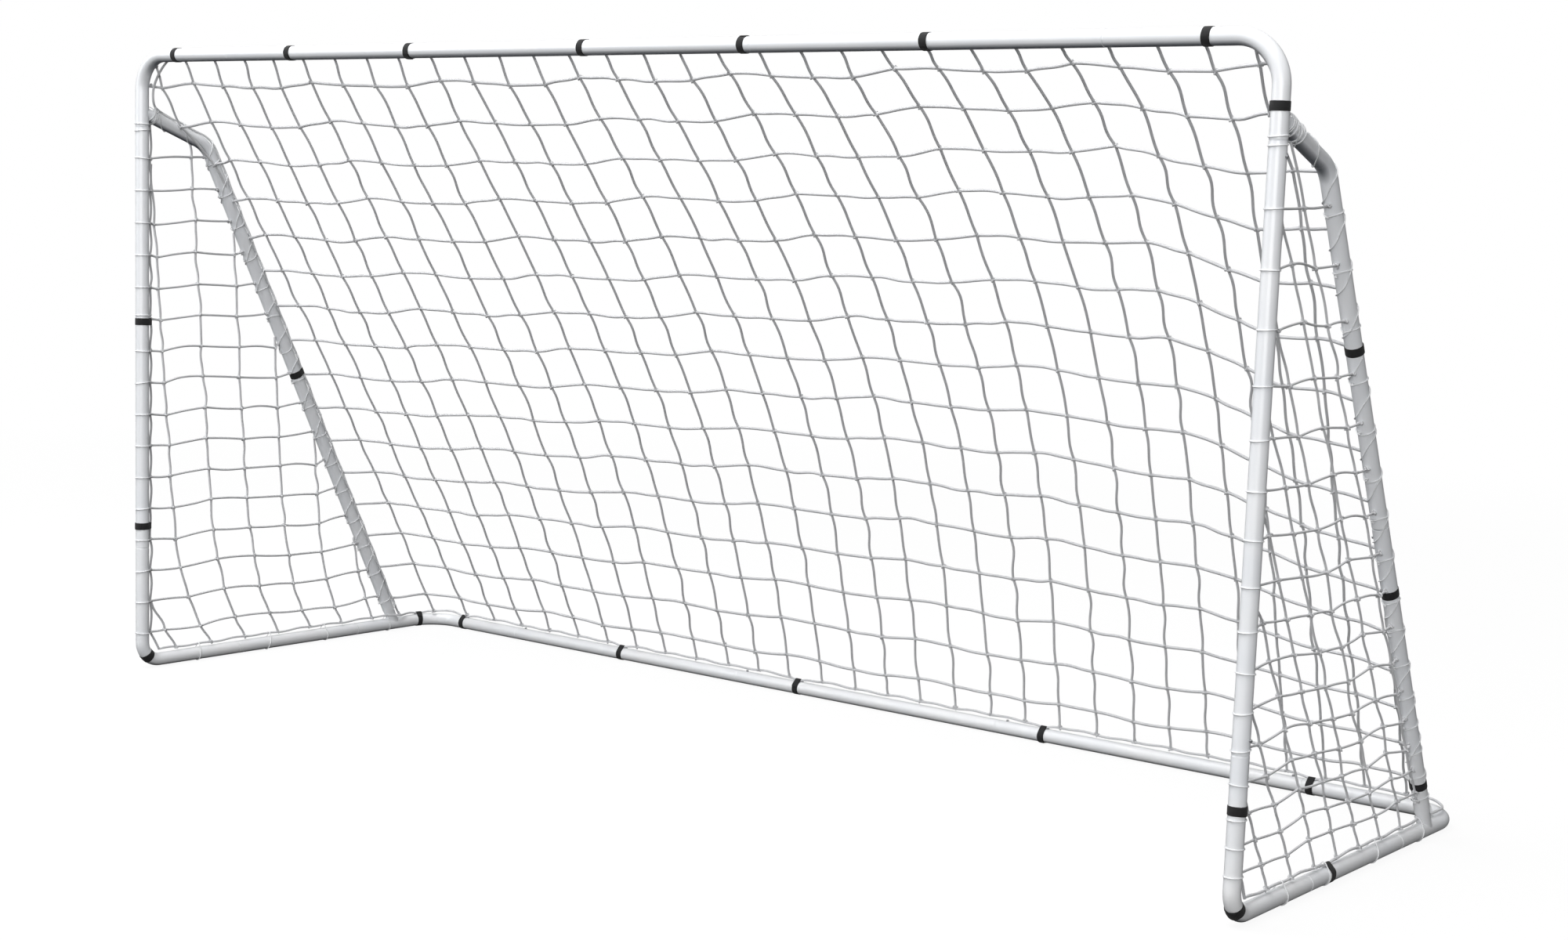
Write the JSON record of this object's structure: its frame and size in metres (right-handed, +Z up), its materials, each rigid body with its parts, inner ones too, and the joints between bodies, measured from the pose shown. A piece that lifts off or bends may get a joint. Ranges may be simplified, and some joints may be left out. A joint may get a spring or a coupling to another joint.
{
  "type": "soccer goal frame",
  "caption": "Free-standing backyard soccer goal: push-together white steel tube frame with raked stays, snap-button joints and a strapped net.",
  "frame": {"origin": "on the ground, at the middle of the goal's outline seen from above", "axes": "+X along the crossbar, to the right as seen from the field; +Y from the goal mouth to the back; +Z up"},
  "size_m": [3.668, 1.2044, 1.8162],
  "materials": {
    "frame_paint": "semi-gloss white powder coat",
    "button_zinc": "zinc plated",
    "spring_steel": "blued spring steel",
    "strap_webbing": "black hook-and-loop webbing",
    "net_cord": "twisted white polyethylene cord"
  },
  "bodies": {
    "root": {"left_top_corner": "frame_paint", "right_top_corner": "frame_paint", "left_crossbar_tube": "frame_paint", "middle_crossbar_tube": "frame_paint", "right_crossbar_tube": "frame_paint", "left_post": "frame_paint", "right_post": "frame_paint", "left_base_bend": "frame_paint", "right_base_bend": "frame_paint", "left_side_base": "frame_paint", "right_side_base": "frame_paint", "left_rear_corner": "frame_paint", "right_rear_corner": "frame_paint", "left_rear_base": "frame_paint", "middle_rear_base": "frame_paint", "right_rear_base": "frame_paint", "left_upper_stay": "frame_paint", "right_upper_stay": "frame_paint", "left_lower_stay": "frame_paint", "right_lower_stay": "frame_paint", "button_springs": "spring_steel", "crossbar_straps": "strap_webbing", "post_straps": "strap_webbing", "base_bend_straps": "strap_webbing", "stay_straps": "strap_webbing", "base_straps": "strap_webbing", "net_back": "net_cord", "net_left": "net_cord", "net_right": "net_cord"},
    "crossbar_button_a": {"crossbar_button_a": "button_zinc"},
    "crossbar_button_b": {"crossbar_button_b": "button_zinc"},
    "crossbar_button_c": {"crossbar_button_c": "button_zinc"},
    "crossbar_button_d": {"crossbar_button_d": "button_zinc"},
    "rear_base_button_a": {"rear_base_button_a": "button_zinc"},
    "rear_base_button_b": {"rear_base_button_b": "button_zinc"},
    "rear_base_button_c": {"rear_base_button_c": "button_zinc"},
    "rear_base_button_d": {"rear_base_button_d": "button_zinc"},
    "right_post_top_button": {"right_post_top_button": "button_zinc"},
    "right_post_foot_button": {"right_post_foot_button": "button_zinc"},
    "left_post_top_button": {"left_post_top_button": "button_zinc"},
    "left_post_foot_button": {"left_post_foot_button": "button_zinc"},
    "left_side_front_button": {"left_side_front_button": "button_zinc"},
    "right_side_front_button": {"right_side_front_button": "button_zinc"},
    "left_side_rear_button": {"left_side_rear_button": "button_zinc"},
    "right_side_rear_button": {"right_side_rear_button": "button_zinc"},
    "left_arm_button": {"left_arm_button": "button_zinc"},
    "right_arm_button": {"right_arm_button": "button_zinc"},
    "left_stay_button": {"left_stay_button": "button_zinc"},
    "right_stay_button": {"right_stay_button": "button_zinc"},
    "left_stay_foot_button": {"left_stay_foot_button": "button_zinc"},
    "right_stay_foot_button": {"right_stay_foot_button": "button_zinc"}
  },
  "joints": [
    {"name": "crossbar_button_a_press", "type": "slide", "parent": "root", "child": "crossbar_button_a", "axis": [0, -1, 0], "range_m": [0, 0.0064], "stiffness_N_per_m": 1500, "springref_m": -0.003, "deforming": ["button_springs"]},
    {"name": "crossbar_button_b_press", "type": "slide", "parent": "root", "child": "crossbar_button_b", "axis": [0, -1, 0], "range_m": [0, 0.0064], "stiffness_N_per_m": 1500, "springref_m": -0.003, "deforming": ["button_springs"]},
    {"name": "crossbar_button_c_press", "type": "slide", "parent": "root", "child": "crossbar_button_c", "axis": [0, -1, 0], "range_m": [0, 0.0064], "stiffness_N_per_m": 1500, "springref_m": -0.003, "deforming": ["button_springs"]},
    {"name": "crossbar_button_d_press", "type": "slide", "parent": "root", "child": "crossbar_button_d", "axis": [0, -1, 0], "range_m": [0, 0.0064], "stiffness_N_per_m": 1500, "springref_m": -0.003, "deforming": ["button_springs"]},
    {"name": "rear_base_button_a_press", "type": "slide", "parent": "root", "child": "rear_base_button_a", "axis": [0, 0, -1], "range_m": [0, 0.0064], "stiffness_N_per_m": 1500, "springref_m": -0.003, "deforming": ["button_springs"]},
    {"name": "rear_base_button_b_press", "type": "slide", "parent": "root", "child": "rear_base_button_b", "axis": [0, 0, -1], "range_m": [0, 0.0064], "stiffness_N_per_m": 1500, "springref_m": -0.003, "deforming": ["button_springs"]},
    {"name": "rear_base_button_c_press", "type": "slide", "parent": "root", "child": "rear_base_button_c", "axis": [0, 0, -1], "range_m": [0, 0.0064], "stiffness_N_per_m": 1500, "springref_m": -0.003, "deforming": ["button_springs"]},
    {"name": "rear_base_button_d_press", "type": "slide", "parent": "root", "child": "rear_base_button_d", "axis": [0, 0, -1], "range_m": [0, 0.0064], "stiffness_N_per_m": 1500, "springref_m": -0.003, "deforming": ["button_springs"]},
    {"name": "right_post_top_button_press", "type": "slide", "parent": "root", "child": "right_post_top_button", "axis": [-1, 0, 0], "range_m": [0, 0.0064], "stiffness_N_per_m": 1500, "springref_m": -0.003, "deforming": ["button_springs"]},
    {"name": "right_post_foot_button_press", "type": "slide", "parent": "root", "child": "right_post_foot_button", "axis": [-1, 0, 0], "range_m": [0, 0.0064], "stiffness_N_per_m": 1500, "springref_m": -0.003, "deforming": ["button_springs"]},
    {"name": "left_post_top_button_press", "type": "slide", "parent": "root", "child": "left_post_top_button", "axis": [1, 0, 0], "range_m": [0, 0.0064], "stiffness_N_per_m": 1500, "springref_m": -0.003, "deforming": ["button_springs"]},
    {"name": "left_post_foot_button_press", "type": "slide", "parent": "root", "child": "left_post_foot_button", "axis": [1, 0, 0], "range_m": [0, 0.0064], "stiffness_N_per_m": 1500, "springref_m": -0.003, "deforming": ["button_springs"]},
    {"name": "left_side_front_button_press", "type": "slide", "parent": "root", "child": "left_side_front_button", "axis": [1, 0, 0], "range_m": [0, 0.0064], "stiffness_N_per_m": 1500, "springref_m": -0.003, "deforming": ["button_springs"]},
    {"name": "right_side_front_button_press", "type": "slide", "parent": "root", "child": "right_side_front_button", "axis": [1, 0, 0], "range_m": [0, 0.0064], "stiffness_N_per_m": 1500, "springref_m": -0.003, "deforming": ["button_springs"]},
    {"name": "left_side_rear_button_press", "type": "slide", "parent": "root", "child": "left_side_rear_button", "axis": [1, 0, 0], "range_m": [0, 0.0064], "stiffness_N_per_m": 1500, "springref_m": -0.003, "deforming": ["button_springs"]},
    {"name": "right_side_rear_button_press", "type": "slide", "parent": "root", "child": "right_side_rear_button", "axis": [1, 0, 0], "range_m": [0, 0.0064], "stiffness_N_per_m": 1500, "springref_m": -0.003, "deforming": ["button_springs"]},
    {"name": "left_arm_button_press", "type": "slide", "parent": "root", "child": "left_arm_button", "axis": [1, 0, 0], "range_m": [0, 0.0064], "stiffness_N_per_m": 1500, "springref_m": -0.003, "deforming": ["button_springs"]},
    {"name": "right_arm_button_press", "type": "slide", "parent": "root", "child": "right_arm_button", "axis": [1, 0, 0], "range_m": [0, 0.0064], "stiffness_N_per_m": 1500, "springref_m": -0.003, "deforming": ["button_springs"]},
    {"name": "left_stay_button_press", "type": "slide", "parent": "root", "child": "left_stay_button", "axis": [1, 0, 0], "range_m": [0, 0.0064], "stiffness_N_per_m": 1500, "springref_m": -0.003, "deforming": ["button_springs"]},
    {"name": "right_stay_button_press", "type": "slide", "parent": "root", "child": "right_stay_button", "axis": [1, 0, 0], "range_m": [0, 0.0064], "stiffness_N_per_m": 1500, "springref_m": -0.003, "deforming": ["button_springs"]},
    {"name": "left_stay_foot_button_press", "type": "slide", "parent": "root", "child": "left_stay_foot_button", "axis": [1, 0, 0], "range_m": [0, 0.0064], "stiffness_N_per_m": 1500, "springref_m": -0.003, "deforming": ["button_springs"]},
    {"name": "right_stay_foot_button_press", "type": "slide", "parent": "root", "child": "right_stay_foot_button", "axis": [1, 0, 0], "range_m": [0, 0.0064], "stiffness_N_per_m": 1500, "springref_m": -0.003, "deforming": ["button_springs"]}
  ]
}
